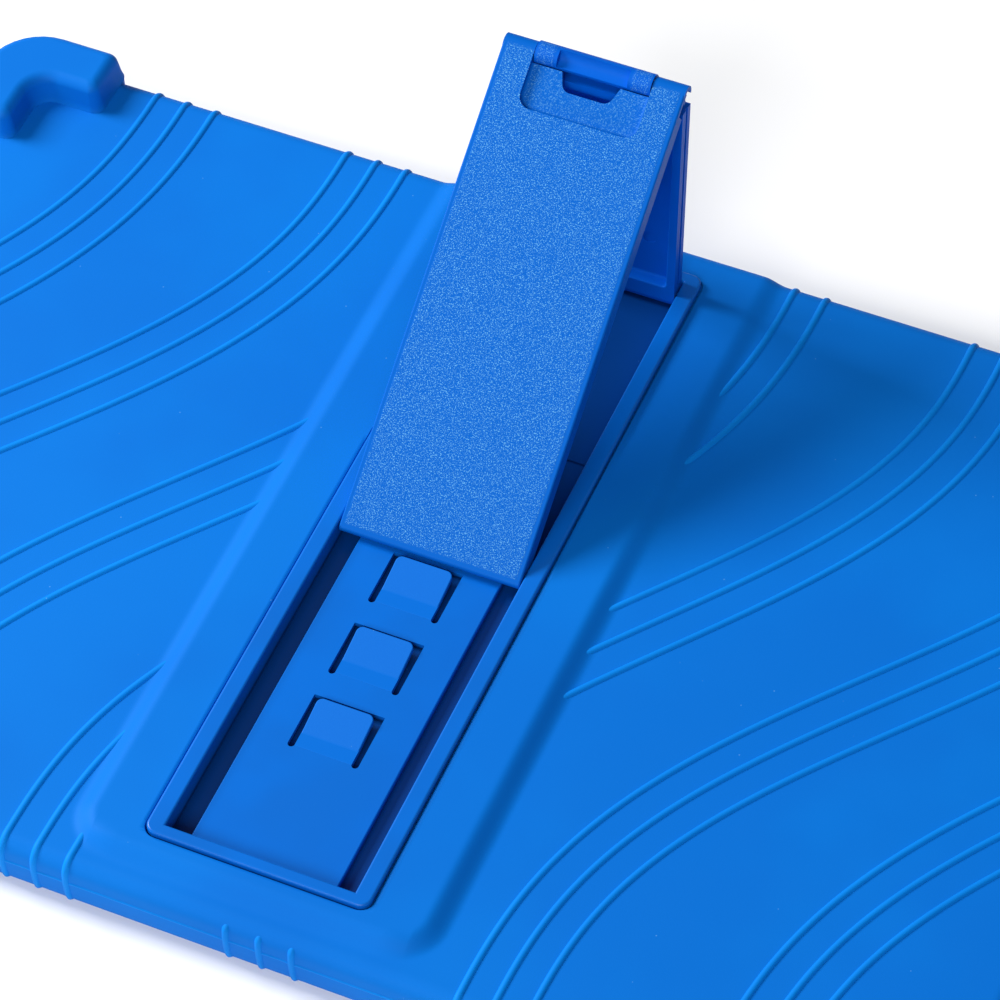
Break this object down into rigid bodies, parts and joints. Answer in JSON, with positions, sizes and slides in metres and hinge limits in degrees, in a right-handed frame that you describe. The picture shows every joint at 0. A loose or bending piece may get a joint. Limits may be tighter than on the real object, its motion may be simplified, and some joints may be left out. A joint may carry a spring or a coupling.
{
  "type": "tablet case",
  "caption": "Soft silicone tablet case with thick corner bumpers, wavy ribs on its back and a fold-out two-legged stand that locks against springy stop tabs.",
  "frame": {"origin": "centre of the bounding box's bottom: the case lies on its front lip, screen side down, with its stand open above", "axes": "+X along the case's long side, +Y along its short side towards the edge that the stand's foot hinge is near, +Z out of the back"},
  "size_m": [0.2542, 0.168, 0.062],
  "materials": {
    "silicone": "satin",
    "tray_plastic": "satin",
    "inner_plastic": "matt",
    "tab_plastic": "frosted wedge, satin root",
    "strut_plastic": "satin",
    "panel_plastic": "moulded grain",
    "pin_steel": "satin"
  },
  "bodies": {
    "case": {"silicone_shell": "silicone", "stand_tray": "tray_plastic", "retainer_frame": "inner_plastic", "foot_pin": "pin_steel"},
    "strut": {"strut": "strut_plastic"},
    "panel": {"panel": "panel_plastic", "apex_pin": "pin_steel"},
    "stop_tab_1": {"stop_tab_1": "tab_plastic"},
    "stop_tab_2": {"stop_tab_2": "tab_plastic"},
    "stop_tab_3": {"stop_tab_3": "tab_plastic"},
    "power_button": {"power_button": "silicone"},
    "volume_button": {"volume_button": "silicone"}
  },
  "joints": [
    {"name": "strut_fold", "type": "hinge", "parent": "case", "child": "strut", "pos_m": [0, 0.07111, 0.0116], "axis": [1, 0, 0], "range_deg": [0, 97.1]},
    {"name": "panel_fold", "type": "hinge", "parent": "strut", "child": "panel", "pos_m": [0, 0.07713, 0.05993], "axis": [1, 0, 0], "range_deg": [-129.3, 0]},
    {"name": "stop_tab_1_bend", "type": "hinge", "parent": "case", "child": "stop_tab_1", "pos_m": [0, -0.01204, 0.0102], "axis": [-1, 0, 0], "range_deg": [0, 7], "stiffness_Nm_per_rad": 0.16},
    {"name": "stop_tab_2_bend", "type": "hinge", "parent": "case", "child": "stop_tab_2", "pos_m": [0, -0.02854, 0.0102], "axis": [-1, 0, 0], "range_deg": [0, 7], "stiffness_Nm_per_rad": 0.16},
    {"name": "stop_tab_3_bend", "type": "hinge", "parent": "case", "child": "stop_tab_3", "pos_m": [0, -0.04504, 0.0102], "axis": [-1, 0, 0], "range_deg": [0, 7], "stiffness_Nm_per_rad": 0.16},
    {"name": "power_button_press", "type": "slide", "parent": "case", "child": "power_button", "axis": [0, 1, 0], "range_m": [0, 0.0005], "stiffness_N_per_m": 2000},
    {"name": "volume_button_press", "type": "slide", "parent": "case", "child": "volume_button", "axis": [0, 1, 0], "range_m": [0, 0.0005], "stiffness_N_per_m": 2000}
  ],
  "couplings": [
    {"joint": "panel_fold", "follows": "strut_fold", "ratio": -1.3316}
  ]
}
